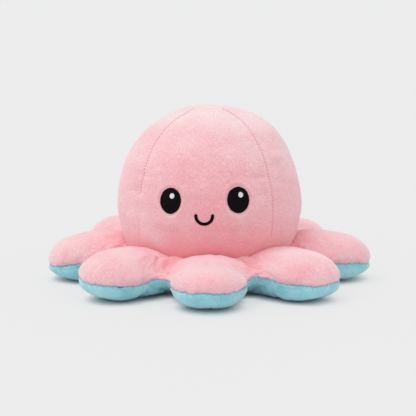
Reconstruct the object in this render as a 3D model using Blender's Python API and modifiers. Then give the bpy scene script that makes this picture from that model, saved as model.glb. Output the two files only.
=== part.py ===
"""A stuffed octopus that turns inside out: a round head over a skirt of eight short tentacles.

The head's cover and the skirt's top are pink, the underside is blue, and a blue pocket, the second
head, is turned up into the first. The skirt stands on the ground plane with its middle on the Z axis,
and the face looks towards -Y. Each tentacle turns about a level hinge at its root, and the head leans
about a level axis through its middle.
"""

import math

import bmesh
import bpy
from mathutils import Matrix

MM = 0.001

# Cloth and clearances
CLOTH = 1.5 * MM
CLOTH_GAP = 0.35 * MM
SEAM_GAP = 0.3 * MM
GORE_GAP = 0.6 * MM
EDGE_GAP = 0.6 * MM
NECK_CLEARANCE = 0.8 * MM
SOCKET_CLEARANCE = 0.45 * MM
FLOOR_CUT = 0.5 * MM

# Head
HEAD_RADIUS = 56.6 * MM
HEAD_HALF_HEIGHT = 63.2 * MM
HEAD_MIDDLE_Z = 45.3 * MM
HEAD_FLOOR_Z = 14.0 * MM
HEAD_POWER = 2.15
HEAD_TURN_DEG = -3.0
HEAD_LEAN_DEG = 8.0
GORES = ("front", "right", "back", "left")
GORE_DEG = 360 / len(GORES)
GORE_SHIFT = GORE_GAP / 2 / math.sin(math.radians(GORE_DEG / 2))

# Pocket, the second head turned up into the first
POCKET_RADIUS = 26.0 * MM
POCKET_TOP_Z = 60.0 * MM

# Skirt
NECK_Z = 21.0 * MM
SKIRT_RADIUS = 71.0 * MM
SKIRT_MOUTH_RADIUS = 30.0 * MM
SKIRT_FLAT_INNER = 36.0 * MM
SKIRT_FLAT_OUTER = 56.0 * MM
SEAM_Z = 13.0 * MM

# Tentacles
TENTACLES = ("right", "back_right", "back", "back_left", "left", "front_left", "front", "front_right")
TIP_RADIUS = 100.0 * MM
HINGE_RADIUS = 71.0 * MM
TENTACLE_HALF_WIDTH = 21.5 * MM
TENTACLE_HALF_HEIGHT = 14.65 * MM
TENTACLE_POWER = 2.3
TENTACLE_STEP_DEG = 360 / len(TENTACLES)
HINGE_Z = TENTACLE_HALF_HEIGHT - FLOOR_CUT

# Face, embroidered on the head
EYE_Z = 58.5 * MM
EYE_HALF_WIDTH = 6.5 * MM
EYE_HALF_HEIGHT = 7.9 * MM
EYE_ANGLE_DEG = 20.9
HIGHLIGHT_HALF_WIDTH = 1.5 * MM
HIGHLIGHT_HALF_HEIGHT = 1.7 * MM
HIGHLIGHT_RIGHT = 1.3 * MM
HIGHLIGHT_UP = 2.95 * MM
MOUTH_Z = 49.5 * MM
MOUTH_RADIUS = 4.9 * MM
MOUTH_LINE = 1.7 * MM
THREAD_HEIGHT = 0.6 * MM

# Facets
GORE_STEPS = 6
HEAD_RINGS = 13
BALL_RINGS = 2
POCKET_RINGS = 7
SKIRT_STEPS = 32
SOCKET_RINGS = 4
TENTACLE_SEGMENTS = 14
TENTACLE_RINGS = 8
EYE_SEGMENTS = 20
HIGHLIGHT_SEGMENTS = 12
MOUTH_STEPS = 12
FULL_TURN = 2 * math.pi
QUARTER_TURN = math.pi / 2
MERGE = 0.00001

COLOURS = {
    "pink_plush": ((0.90, 0.52, 0.56), 0.95),
    "blue_plush": ((0.22, 0.60, 0.70), 0.95),
    "fibre_filling": ((0.92, 0.92, 0.90), 1.0),
    "black_thread": ((0.012, 0.008, 0.010), 0.45),
    "white_thread": ((0.85, 0.83, 0.84), 0.5),
}


def clear_scene():
    """Take out what the file opened with."""
    for thing in list(bpy.data.objects):
        bpy.data.objects.remove(thing)


def new_collection(name):
    """A collection of this name in the scene."""
    made = bpy.data.collections.new(name)
    bpy.context.scene.collection.children.link(made)
    return made


def make_materials():
    """One plain material for each cloth and thread."""
    made = {}
    for name, (colour, roughness) in COLOURS.items():
        material = bpy.data.materials.new(name)
        material.use_nodes = True
        shader = material.node_tree.nodes["Principled BSDF"]
        shader.inputs["Base Color"].default_value = (*colour, 1)
        shader.inputs["Roughness"].default_value = roughness
        shader.inputs["Metallic"].default_value = 0
        made[name] = material
    return made


def add_object(name, mesh, collection, material=None, parent=None, place=None):
    """An object for this mesh, placed in its parent's space."""
    made = bpy.data.objects.new(name, mesh)
    collection.objects.link(made)
    if material:
        mesh.materials.append(material)
        mesh.shade_smooth()
    made.parent = parent
    made.matrix_local = place or Matrix.Identity(4)
    return made


def add_pivot(name, collection, place):
    """An empty on a joint's axis, which carries the pieces that turn about it."""
    made = bpy.data.objects.new(name, None)
    collection.objects.link(made)
    made.empty_display_size = TENTACLE_HALF_HEIGHT
    made.matrix_world = place
    return made


def mesh_from(shape, name):
    """Turn a bmesh into a mesh of this name."""
    mesh = bpy.data.meshes.new(name)
    shape.to_mesh(mesh)
    shape.free()
    return mesh


def line_mesh(name, points, closed=False):
    """A chain of edges through (radius, height) points at +X, for a Screw."""
    shape = bmesh.new()
    corners = [shape.verts.new((radius, 0, height)) for radius, height in points]
    for first, second in zip(corners, corners[1:]):
        shape.edges.new((first, second))
    if closed:
        shape.edges.new((corners[-1], corners[0]))
    return mesh_from(shape, name)


def add_screw(thing, angle, steps):
    """Turn the object's profile about its Z axis."""
    screw = thing.modifiers.new("turn", "SCREW")
    screw.axis = "Z"
    screw.angle = angle
    screw.steps = steps
    screw.render_steps = steps
    screw.use_merge_vertices = True
    screw.merge_threshold = MERGE
    screw.use_smooth_shade = True


def add_thickness(thing, thickness, outwards=False):
    """Give an open surface a thickness, towards its inside or its outside."""
    solid = thing.modifiers.new("cloth", "SOLIDIFY")
    solid.thickness = thickness
    solid.offset = 1 if outwards else -1
    solid.use_even_offset = True


def cut_with(thing, cutters):
    """Cut every object of a collection out of this one."""
    cut = thing.modifiers.new("sockets", "BOOLEAN")
    cut.operation = "DIFFERENCE"
    cut.operand_type = "COLLECTION"
    cut.collection = cutters
    cut.solver = "EXACT"


def moved_inwards(points, distance):
    """A line moved to its inner side by one distance all along, with its ends kept on the axis."""
    moved = []
    for index, (radius, height) in enumerate(points):
        before = points[max(index - 1, 0)]
        after = points[min(index + 1, len(points) - 1)]
        normals = []
        for (r1, z1), (r2, z2) in ((before, (radius, height)), ((radius, height), after)):
            length = math.hypot(r2 - r1, z2 - z1)
            if length:
                normals.append(((z1 - z2) / length, (r2 - r1) / length))
        across = [sum(part) / len(normals) for part in zip(*normals)]
        size = math.hypot(*across)
        step = distance / size**2
        new_radius = radius - across[0] * step
        moved.append((new_radius if radius else 0, height - across[1] * step))
    return moved


def rounded(share, power):
    """The radius share of a superellipse at this share of its half height."""
    return max(1 - abs(share) ** power, 0) ** (1 / power)


def head_radius_at(height):
    """The head's radius at a height above the ground."""
    share = (height - HEAD_MIDDLE_Z) / HEAD_HALF_HEIGHT
    return HEAD_RADIUS * rounded(share, HEAD_POWER)


BALL_RADIUS = math.hypot(head_radius_at(NECK_Z), HEAD_MIDDLE_Z - NECK_Z)


def ball_radius_at(height, radius):
    """How wide a ball about the head's middle is at a height."""
    return math.sqrt(radius**2 - (height - HEAD_MIDDLE_Z) ** 2)


def leaned(radius, height):
    """Where a point of the head's floor comes to when the head leans over that side."""
    lean = math.radians(HEAD_LEAN_DEG)
    up = height - HEAD_MIDDLE_Z
    low = HEAD_MIDDLE_Z + up * math.cos(lean) - radius * math.sin(lean)
    return (radius * math.cos(lean) + up * math.sin(lean), low)


def seat_z_at(radius):
    """The top of the skirt's seat, which the head's floor clears as it leans."""
    outer = leaned(ball_radius_at(HEAD_FLOOR_Z, BALL_RADIUS), HEAD_FLOOR_Z)
    inner = leaned(POCKET_RADIUS + CLOTH, HEAD_FLOOR_Z)
    slope = (inner[1] - outer[1]) / (inner[0] - outer[0])
    return outer[1] + slope * (radius - outer[0]) - NECK_CLEARANCE


def head_profile():
    """The head's outer side from the crown to the neck, then a ball that sits in the skirt."""
    crown_z = HEAD_MIDDLE_Z + HEAD_HALF_HEIGHT
    neck_turn = math.acos((NECK_Z - HEAD_MIDDLE_Z) / HEAD_HALF_HEIGHT)
    points = [(0, crown_z)]
    for ring in range(1, HEAD_RINGS + 1):
        height = HEAD_MIDDLE_Z + HEAD_HALF_HEIGHT * math.cos(neck_turn * ring / HEAD_RINGS)
        points.append((head_radius_at(height), height))
    for ring in range(1, BALL_RINGS + 1):
        height = NECK_Z + (HEAD_FLOOR_Z - NECK_Z) * ring / BALL_RINGS
        points.append((ball_radius_at(height, BALL_RADIUS), height))
    return points


def pocket_profile():
    """The pocket's wall from its top to the head's floor."""
    half_height = POCKET_TOP_Z - HEAD_FLOOR_Z
    points = []
    for ring in range(POCKET_RINGS + 1):
        turn = QUARTER_TURN * ring / POCKET_RINGS
        points.append((POCKET_RADIUS * math.sin(turn), HEAD_FLOOR_Z + half_height * math.cos(turn)))
    return [(0, POCKET_TOP_Z), *points[1:]]


def skirt_top_profile():
    """The skirt's pink side, from the neck out to the seam between two tentacles."""
    neck = head_radius_at(NECK_Z) + NECK_CLEARANCE
    width = SKIRT_RADIUS - neck
    rise = NECK_Z - SEAM_Z
    shares = ((0, 1), (0.24, 1.06), (0.52, 0.98), (0.77, 0.7), (1, 0.24), (1, 0))
    points = [(neck + width * out, SEAM_Z + rise * up) for out, up in shares]
    points[-1] = (SKIRT_RADIUS, SEAM_Z + SEAM_GAP / 2)
    return points


def skirt_under_profile():
    """The skirt's blue side, from that seam down, across the flat it stands on, and up its mouth."""
    width = SKIRT_RADIUS - SKIRT_FLAT_OUTER
    edge_shares = ((1, 0.82), (0.72, 0.4), (0.36, 0.12), (0, 0))
    lip = SKIRT_FLAT_INNER - SKIRT_MOUTH_RADIUS
    lip_z = seat_z_at(SKIRT_MOUTH_RADIUS)
    lip_shares = ((1, 0), (0.3, 0.16), (0, 0.5), (0, 1))
    points = [(SKIRT_RADIUS, SEAM_Z - SEAM_GAP / 2)]
    points += [(SKIRT_FLAT_OUTER + width * out, SEAM_Z * up) for out, up in edge_shares]
    points += [(SKIRT_MOUTH_RADIUS + lip * out, lip_z * up) for out, up in lip_shares]
    return points


def skirt_filling_profile():
    """The closed outline of the skirt's filling: inside its cloth, and round the head's ball."""
    inset = CLOTH + CLOTH_GAP
    seam = (SKIRT_RADIUS, SEAM_Z)
    outer = moved_inwards([*skirt_top_profile()[:-1], seam, *skirt_under_profile()[1:]], inset)
    socket = BALL_RADIUS + NECK_CLEARANCE
    top_z = outer[0][1]
    low_z = seat_z_at(leaned(ball_radius_at(HEAD_FLOOR_Z, BALL_RADIUS), HEAD_FLOOR_Z)[0])
    points = [(outer[-1][0], seat_z_at(outer[-1][0]))]
    for ring in range(SOCKET_RINGS + 1):
        height = low_z + (top_z - low_z) * ring / SOCKET_RINGS
        points.append((ball_radius_at(height, socket), height))
    return outer[:-1] + points


def turned_about_z(degrees):
    """A turn about the Z axis."""
    return Matrix.Rotation(math.radians(degrees), 4, "Z")


def tentacle_shape(inset, floor):
    """A rounded lobe about its hinge, the Y axis, stretched outwards along +X."""
    shape = bmesh.new()
    bmesh.ops.create_uvsphere(
        shape, u_segments=TENTACLE_SEGMENTS, v_segments=TENTACLE_RINGS, radius=1
    )
    bmesh.ops.rotate(shape, verts=shape.verts, matrix=Matrix.Rotation(QUARTER_TURN, 3, "X"))
    power = TENTACLE_POWER
    height = TENTACLE_HALF_HEIGHT - inset
    for corner in shape.verts:
        out, along, up = corner.co
        bend = power if out > 0 else 2
        round_hinge = (abs(out) ** bend + abs(up) ** bend) ** (1 / bend)
        grow = (round_hinge**power + abs(along) ** power) ** (-1 / power)
        reach = TIP_RADIUS - HINGE_RADIUS - inset if out > 0 else height
        corner.co = (
            out * grow * reach,
            along * grow * (TENTACLE_HALF_WIDTH - inset),
            max(up * grow * height, floor),
        )
    return shape


def keep_side(shape, height, side):
    """Keep what lies above a level plane, with side 1, or below it, with side -1."""
    bmesh.ops.bisect_plane(
        shape,
        geom=shape.verts[:] + shape.edges[:] + shape.faces[:],
        plane_co=(0, 0, height),
        plane_no=(0, 0, side),
        clear_inner=True,
    )


def build_tentacle(name, yaw, collection, materials):
    """A tentacle's top, underside and filling on a pivot at its root."""
    across = Matrix.Translation((HINGE_RADIUS, 0, HINGE_Z))
    pivot = add_pivot(f"tentacle_{name}_hinge", collection, turned_about_z(yaw) @ across)
    for piece, side, colour in (("top", 1, "pink_plush"), ("underside", -1, "blue_plush")):
        shape = tentacle_shape(0, -HINGE_Z)
        keep_side(shape, SEAM_Z - HINGE_Z + side * EDGE_GAP / 2, side)
        full_name = f"tentacle_{name}_{piece}"
        cloth = add_object(
            full_name, mesh_from(shape, full_name), collection, materials[colour], pivot
        )
        add_thickness(cloth, CLOTH)
    inset = CLOTH + CLOTH_GAP
    full_name = f"tentacle_{name}_filling"
    filling = mesh_from(tentacle_shape(inset, inset - HINGE_Z), full_name)
    add_object(full_name, filling, collection, materials["fibre_filling"], pivot)


def build_sockets(collection):
    """The hollows that the tentacles' roots turn in, as cutters."""
    for index, name in enumerate(TENTACLES):
        full_name = f"socket_{name}"
        mesh = mesh_from(tentacle_shape(-SOCKET_CLEARANCE, -TIP_RADIUS), full_name)
        across = Matrix.Translation((HINGE_RADIUS, 0, HINGE_Z))
        place = turned_about_z(index * TENTACLE_STEP_DEG) @ across
        cutter = add_object(full_name, mesh, collection, place=place)
        cutter.hide_render = True
        cutter.display_type = "WIRE"


def build_skirt(collection, sockets, materials):
    """The skirt's pink top, blue underside and filling, hollowed for the tentacles' roots."""
    half_step = turned_about_z(360 / SKIRT_STEPS / 2)
    for name, points, colour in (
        ("skirt_top", skirt_top_profile(), "pink_plush"),
        ("skirt_underside", skirt_under_profile(), "blue_plush"),
        ("skirt_filling", skirt_filling_profile(), "fibre_filling"),
    ):
        closed = colour == "fibre_filling"
        mesh = line_mesh(name, points, closed)
        piece = add_object(name, mesh, collection, materials[colour], place=half_step)
        add_screw(piece, FULL_TURN, SKIRT_STEPS)
        if not closed:
            add_thickness(piece, CLOTH)
        cut_with(piece, sockets)


def build_gores(prefix, points, colour, outwards, pivot, collection, materials):
    """Four gores of a turned cover, a seam's gap apart."""
    for index, name in enumerate(GORES):
        full_name = f"{prefix}_{name}"
        middle = turned_about_z(HEAD_TURN_DEG + (index - 1) * GORE_DEG)
        apart = Matrix.Translation((GORE_SHIFT, 0, -HEAD_MIDDLE_Z))
        place = middle @ apart @ turned_about_z(-GORE_DEG / 2)
        gore = add_object(
            full_name, line_mesh(full_name, points), collection, materials[colour], pivot, place
        )
        add_screw(gore, math.radians(GORE_DEG), GORE_STEPS)
        add_thickness(gore, CLOTH, outwards)


def build_head_filling(pivot, collection, materials):
    """The head's filling, inside its cover and round the pocket."""
    inset = CLOTH + CLOTH_GAP
    outer = moved_inwards(head_profile(), inset)
    outer[-1] = (outer[-1][0], HEAD_FLOOR_Z)
    inner = moved_inwards(pocket_profile(), -inset - GORE_SHIFT)
    inner[-1] = (inner[-1][0], HEAD_FLOOR_Z)
    points = outer + inner[::-1]
    filling = add_object(
        "head_filling",
        line_mesh("head_filling", points),
        collection,
        materials["fibre_filling"],
        pivot,
        turned_about_z(HEAD_TURN_DEG - GORE_DEG / 2) @ Matrix.Translation((0, 0, -HEAD_MIDDLE_Z)),
    )
    add_screw(filling, FULL_TURN, GORE_STEPS * len(GORES))


def on_face(turn_deg, height, lift):
    """The place on the head's front at this turn to the side and this height, lifted off it."""
    turn = math.radians(turn_deg + HEAD_TURN_DEG) - QUARTER_TURN
    radius = head_radius_at(height) + GORE_SHIFT + lift
    return (radius * math.cos(turn), radius * math.sin(turn), height - HEAD_MIDDLE_Z)


def degrees_along(distance, height):
    """The turn about the Z axis that covers this distance on the head at a height."""
    return math.degrees(distance / head_radius_at(height))


def add_stitched_patch(name, mesh_shape, middle_deg, middle_z, lift, look, pivot, collection):
    """Lay a flat shape, drawn across and up, on the head's front and thicken it outwards."""
    for corner in mesh_shape.verts:
        height = middle_z + corner.co.y
        turn_deg = middle_deg + degrees_along(corner.co.x, height)
        corner.co = on_face(turn_deg, height, lift)
    patch = add_object(name, mesh_from(mesh_shape, name), collection, look, pivot)
    add_thickness(patch, THREAD_HEIGHT, outwards=True)


def oval(half_width, half_height, segments):
    """A flat oval, filled as a fan."""
    shape = bmesh.new()
    bmesh.ops.create_circle(shape, cap_ends=True, cap_tris=True, segments=segments, radius=1)
    bmesh.ops.scale(shape, verts=shape.verts, vec=(half_width, half_height, 1))
    return shape


def smile():
    """A flat band along the lower half of a circle."""
    shape = bmesh.new()
    rows = []
    for step in range(MOUTH_STEPS + 1):
        turn = math.pi + math.pi * step / MOUTH_STEPS
        across, up = math.cos(turn), math.sin(turn)
        inner = MOUTH_RADIUS - MOUTH_LINE / 2
        outer = MOUTH_RADIUS + MOUTH_LINE / 2
        rows.append([shape.verts.new((across * r, up * r, 0)) for r in (inner, outer)])
    for (a, b), (c, d) in zip(rows, rows[1:]):
        shape.faces.new((a, b, d, c))
    return shape


def build_face(pivot, collection, materials):
    """Two eyes with highlights and a mouth, as thin patches of thread."""
    black, white = materials["black_thread"], materials["white_thread"]
    for name, side in (("left", -1), ("right", 1)):
        middle = side * EYE_ANGLE_DEG
        shape = oval(EYE_HALF_WIDTH, EYE_HALF_HEIGHT, EYE_SEGMENTS)
        lift = SEAM_GAP
        add_stitched_patch(f"eye_{name}", shape, middle, EYE_Z, lift, black, pivot, collection)
        shape = oval(HIGHLIGHT_HALF_WIDTH, HIGHLIGHT_HALF_HEIGHT, HIGHLIGHT_SEGMENTS)
        height = EYE_Z + HIGHLIGHT_UP
        middle += degrees_along(HIGHLIGHT_RIGHT, height)
        lift = 2 * SEAM_GAP + THREAD_HEIGHT
        patch = f"eye_highlight_{name}"
        add_stitched_patch(patch, shape, middle, height, lift, white, pivot, collection)
    add_stitched_patch("mouth", smile(), 0, MOUTH_Z, SEAM_GAP, black, pivot, collection)


def build():
    """The whole octopus."""
    clear_scene()
    collection = new_collection("plush_octopus")
    sockets = new_collection("tentacle_sockets")
    materials = make_materials()
    build_sockets(sockets)
    build_skirt(collection, sockets, materials)
    for index, name in enumerate(TENTACLES):
        build_tentacle(name, index * TENTACLE_STEP_DEG, collection, materials)
    pivot = add_pivot("head_pivot", collection, Matrix.Translation((0, 0, HEAD_MIDDLE_Z)))
    head = (pivot, collection, materials)
    build_gores("head", head_profile(), "pink_plush", False, *head)
    build_gores("pocket", pocket_profile(), "blue_plush", True, *head)
    build_head_filling(*head)
    build_face(*head)


build()
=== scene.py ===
"""A stuffed octopus of pink and blue plush, which turns inside out, on a pale floor.

The head is four sewn gores with an embroidered face. The skirt and its eight tentacles are one grid of
cloth, filled by a cloth simulation and cut into a pink and a blue piece for each tentacle. Lengths are
in metres, the face looks towards -Y, and azimuths are turned from +X about the Z axis.
"""

import itertools
import math

import bpy
import numpy as np
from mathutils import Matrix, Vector


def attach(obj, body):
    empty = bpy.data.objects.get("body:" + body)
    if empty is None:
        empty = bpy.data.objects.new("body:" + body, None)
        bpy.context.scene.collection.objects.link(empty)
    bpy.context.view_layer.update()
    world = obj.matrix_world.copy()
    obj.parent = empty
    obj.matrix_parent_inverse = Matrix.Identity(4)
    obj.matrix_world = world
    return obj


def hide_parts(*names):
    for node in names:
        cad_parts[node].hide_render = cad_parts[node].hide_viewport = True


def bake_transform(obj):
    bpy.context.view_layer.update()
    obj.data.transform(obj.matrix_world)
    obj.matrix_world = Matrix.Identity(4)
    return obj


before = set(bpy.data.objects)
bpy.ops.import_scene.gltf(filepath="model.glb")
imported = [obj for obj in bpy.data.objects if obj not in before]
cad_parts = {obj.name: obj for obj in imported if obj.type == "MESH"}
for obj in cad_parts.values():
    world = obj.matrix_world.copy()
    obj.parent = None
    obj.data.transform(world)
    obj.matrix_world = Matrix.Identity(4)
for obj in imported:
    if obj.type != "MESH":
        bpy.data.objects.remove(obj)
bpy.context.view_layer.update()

MM = 0.001
SEED = 7
TINY = 1e-20
LOW_BITS = 0xFFFFFFFF

# Head, with the sizes of the CAD gores
HEAD_RADIUS = 56.6 * MM
HEAD_HALF_HEIGHT = 63.2 * MM
HEAD_MIDDLE_Z = 45.3 * MM
HEAD_FLOOR_Z = 14.0 * MM
HEAD_POWER = 2.15
HEAD_TURN_DEG = -3.0
FACE_AZIMUTH = math.radians(HEAD_TURN_DEG) - math.pi / 2
SLOPE_STEP = 0.02 * MM
HEAD_BALL_RADIUS = 56.0 * MM
HEAD_BALL_TOP_Z = 38.0 * MM
HEAD_BALL_FADE = 8.0 * MM
GORES = ("front", "right", "back", "left")
GORE_TURN = 2 * math.pi / len(GORES)
POCKET_RADIUS = 26.0 * MM
POCKET_TOP_Z = 60.0 * MM
HEAD_STEP = 0.75 * MM
HEAD_STITCH_STEP = 1.85 * MM
HEAD_STITCH_LENGTH = 1.1 * MM
HEAD_STITCH_RADIUS = 0.23 * MM
HEAD_STITCH_LIFT = 0.05 * MM
HEAD_STITCH_START_Z = 35.0 * MM
HEAD_STITCH_END_Z = 107.5 * MM
# The left seam's stitches sink into the pile below this height
LEFT_STITCH_START_Z = 60.0 * MM
SEAM_GROOVE = 0.22 * MM
SEAM_GROOVE_WIDTH = 0.8 * MM
SEAM_VALLEY_REACH = 4.0 * MM
TUCK_REACH = 6.0 * MM
TUCK_START = 2.0 * MM
DETAIL_STARTS_Z = (28.0 * MM, 40.0 * MM)
POCKET_STEP = 1.6 * MM
POCKET_SEAM_RISE = 0.5 * MM
POCKET_SEAM_REACH = 1.5 * MM
COLLAR_SEAT = 0.3 * MM
COLLAR_ROWS = 9
COLLAR_COLUMNS = 120

# Where the head's stuffing swells or sinks: turn from the face in degrees, height, half width, half height
# and how far the cloth stands out there, in millimetres
SWELLS = (
    (98, 95, 26, 16, 1.9),
    (-75, 103, 17, 13, -0.8),
    (-44.5, 70.5, 9, 2.2, -0.85),
    (-50, 60.5, 8, 2.0, -0.6),
    (-52, 65.5, 7, 1.8, 0.3),
    (-30, 88, 7, 4, -0.35),
    (-20, 101, 6, 2.5, -0.3),
    (-33, 98, 6, 3, 0.3),
    (38, 70.5, 6, 2.4, -0.95),
    (56, 66, 5, 2.0, -0.85),
    (52, 61, 4, 1.6, -0.4),
    (38, 60, 4.5, 2.0, -0.6),
    (57, 81, 5, 2.5, 0.8),
    (52, 75.5, 5, 1.8, -0.3),
    (35, 46, 6, 2, -0.25),
    (-24, 48.6, 4.5, 0.6, -0.22),
    (-58, 48, 5, 2.2, -0.3),
    (135, 76, 8, 2.2, -0.5),
    (140, 62, 6, 2.0, 0.4),
    (-130, 82, 7, 2.4, -0.5),
    (-138, 66, 8, 2.0, -0.4),
    (180, 70, 22, 18, 0.6),
)

# Patches of painted light on the head, and painted shade where the strength is below zero: turn from the
# face in degrees, height and size in millimetres, and strength
HEAD_PAINTED_LIGHT_PATCHES = (
    (44, 92, 15, 0.35),
    (-38, 102, 8, 0.35),
    (-22, 106, 5, 0.25),
    (-20, 47, 4, 0.3),
    (20, 47, 4, 0.25),
    (-45, 40, 12, 0.3),
    (-33, 33, 9, 0.55),
    (28, 76, 9, -0.2),
    (-60, 70, 14, -0.25),
    (62, 62, 14, -0.2),
)

# Skirt and tentacles. How each tentacle, in turn from +X, differs from the plain one: millimetres longer,
# share wider, share taller, millimetres to its left as seen from above facing outwards, millimetres that
# the seam rises at the tip, on its left side and on its right side, and share fuller on top near the tip
TENTACLE_SHAPES = {
    "right": (-0.1, 0.01, 0.12, 0.0, -0.9, -1.0, 1.2, 0.12),
    "back_right": (0.7, 0.0, 0.05, -1.2, 0.5, 0.5, -0.5, 0.0),
    "back": (0.3, 0.02, 0.0, -0.4, 0.8, -0.6, 0.6, 0.0),
    "back_left": (0.6, 0.06, 0.17, 2.6, 1.0, 0.5, -0.5, 0.0),
    "left": (0.3, 0.0, 0.12, 0.0, -2.4, 0.9, -1.0, 0.15),
    "front_left": (0.2, 0.0, 0.0, 0.2, 0.7, -1.3, 2.4, 0.0),
    "front": (-0.9, 0.06, -0.10, -0.8, 0.8, -1.0, 0.0, 0.0),
    "front_right": (0.1, 0.0, 0.02, 0.0, 0.1, 0.1, -0.7, 0.0),
}
TENTACLES = tuple(TENTACLE_SHAPES)
TENTACLE_TURN = 2 * math.pi / len(TENTACLES)
# Where, along a tentacle, these changes come in
SHAPE_CHANGES = (68.0 * MM, 84.0 * MM)
TIP_RISES = (75.0 * MM, 97.0 * MM)
SIDES_RISE = (66.0 * MM, 80.0 * MM)
TIP_SWELLS = (80.0 * MM, 97.0 * MM)
LOBE_MIDDLE = 72.7 * MM
LOBE_REACH = 26.6 * MM
LOBE_HALF_WIDTH = 21.0 * MM
LOBE_POWER = 2.15
TOP_FULLNESS = 0.46
UNDER_OUT_POWER = 1.5
UNDER_ACROSS_POWER = 2.8
UNDER_FULLNESS = 0.45
UNDER_SOFTNESS = 1.1 * MM
LOBE_TOP_Z = 28.3 * MM
LOBE_SINK = 0.15 * MM
ROOT_FALL = 0.4 * MM
ROOT_SPREAD = 22.0 * MM
ROOT_EDGE = 9.0 * MM
VALLEY_MARGIN = 0.5 * MM
SEAM_Z = 13.1 * MM
NOTCH_SEAM_RISE = 1.7 * MM
HIGH_NOTCH_DEG = 292.5
HIGH_NOTCH_WIDTH_DEG = 9.0
HIGH_NOTCH_RISE = 1.8 * MM
NOTCH_RADIUS = 71.0 * MM
NOTCH_PULL = 3.5 * MM
WEB_RISE = 3.6 * MM
WEB_DROP = 4.7 * MM
WEB_EDGE = 5.5 * MM
WEB_START = 66.0 * MM
WEB_RISE_SLOPE = 0.5
WEB_DROP_SLOPE = 0.45
WEB_SOFTNESS = 2.2 * MM
FLOOR_SOFTNESS = 0.6 * MM
LEAST_Z = 0.05 * MM
# Cloth below this height rests on the floor
RESTING_Z = 0.3 * MM
CONTACT_PRESS = 0.5 * MM
CONTACT_Z = 24.3 * MM
CONTACT_WAVE = 1.9 * MM
LIP = 6.0 * MM
LIP_FOOT_Z = 15.5 * MM
MOUTH_RADIUS = 30.0 * MM
MOUTH_LIP = 4.0 * MM
MOUTH_TOP_Z = 8.7 * MM
CLOTH = 1.2 * MM
STITCH_COLUMNS = 4
STITCH_LENGTH = 1.0 * MM
STITCH_RADIUS = 0.14 * MM
STITCH_LIFT = 0.1 * MM

# Grid of the skirt before it is made twice as fine
HALF_COLUMNS = 28
LIP_ROWS = 3
TOP_ROWS = 31
UNDER_ROWS = 26
MOUTH_ROWS = 5

# Simulation that fills the skirt
FILL_FRAMES = 16
FILL_PRESSURE = 5.0
FILL_GROWTH = 0.016
SEAM_SHRINK = 0.012
FILL_CAP = 1.5 * MM

# Creases on the skirt: the radius in millimetres and azimuth in degrees of the points that each passes,
# then its depth and half width in millimetres
CREASES = (
    (((62.0, 241.0), (66.5, 242.5), (70.8, 245.5)), 1.5, 1.0),
    (((57.0, 245.5), (63.0, 246.5), (70.6, 247.0)), 1.2, 0.9),
    (((73.0, 239.0), (76.1, 241.3), (78.7, 240.5)), 0.6, 1.0),
    (((93.4, 227.5), (99.5, 227.1)), 0.85, 0.9),
    (((93.5, 223.6), (99.0, 223.2)), 0.6, 0.9),
    (((96.0, 219.0), (99.5, 219.5)), 0.4, 0.9),
    (((83.6, 260.8), (80.4, 265.0), (78.3, 270.3), (80.4, 275.6), (82.7, 280.3)), 0.2, 1.7),
    (((56.0, 253.0), (63.0, 250.5)), 1.1, 1.0),
    (((56.0, 289.5), (64.0, 291.5)), 1.1, 1.0),
    (((58.0, 293.5), (64.0, 292.8), (71.0, 292.3)), 1.35, 0.95),
    (((70.8, 296.6), (70.8, 292.6)), 0.9, 1.0),
    (((57.0, 298.0), (64.0, 296.0)), 1.0, 1.0),
    (((94.1, 315.2), (99.7, 315.1)), 0.85, 0.9),
    (((93.3, 311.9), (99.5, 312.0)), 0.7, 0.8),
    (((93.6, 318.4), (99.6, 318.4)), 0.65, 0.9),
    (((84.0, 311.2), (88.3, 312.7), (92.2, 312.7)), 0.45, 2.0),
    (((88.0, 191.0), (91.0, 193.5)), 0.5, 2.2),
    (((56.0, 205.5), (62.0, 206.5), (67.0, 205.5)), 1.4, 1.1),
    (((57.0, 199.0), (64.0, 200.5)), 1.0, 1.1),
    (((58.0, 203.0), (67.0, 202.8)), -0.9, 2.0),
    (((57.0, 336.5), (66.0, 335.0)), 0.9, 1.2),
    (((56.0, 341.5), (63.0, 339.5)), 0.7, 1.2),
)
NOTCH_CREASES = 4
NOTCH_PRESS = 0.6
NOTCH_PRESS_WIDTH = 2.0 * MM

# Painted shade on the skirt: how strong it is in each place, and how far that reaches
VALLEY_SHADE = 0.6
VALLEY_WIDTH = 3.5 * MM
VALLEY_FADE = 5.0 * MM
NECK_SHADE = 0.9
NECK_REACH = 4.5 * MM
CONTACT_SHADE = 0.6
CONTACT_LINE = 1.3 * MM
SEAM_SHADE = 0.8
SEAM_LINE = 0.6 * MM
# Patches of painted light on the skirt's pink side, and painted shade where the strength is below zero:
# radius in millimetres, azimuth in degrees, size in millimetres and strength
PAINTED_LIGHT_PATCHES = (
    (80, 317, 9, 0.5),
    (72, 309, 9, 0.5),
    (90, 304, 7, -0.2),
    (84, 279, 7, 0.35),
    (74, 222, 9, 0.3),
    (72, 229, 9, 0.3),
    (88, 181, 8, 0.35),
    (82, 192, 7, 0.2),
    (76, 352, 10, 0.3),
    (62, 202.8, 2.8, 1.2),
)

# Layers of noise: the height of each in millimetres, its size in millimetres and its seed
SKIRT_LUMPS = ((0.45, 17, 11), (0.22, 6, 12), (0.14, 2.0, 13))
SEAM_PUCKERS = ((0.6, 3.4, 21), (0.5, 7, 22))
NECK_FOLDS = ((0.8, 4.5, 23), (0.4, 2.4, 24))
RAGGED_SEAM = ((0.35, 4.2, 31), (0.4, 1.7, 32))
HEAD_LUMPS = ((0.5, 26, 41), (0.24, 8, 42), (0.16, 1.9, 43))
HEAD_TUCKS = ((0.3, 5, 51),)
# The same for a satin oval, in thousandths of its size and of a radian
OVAL_JAGS = ((10, 110, 61), (8, 300, 62))

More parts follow.
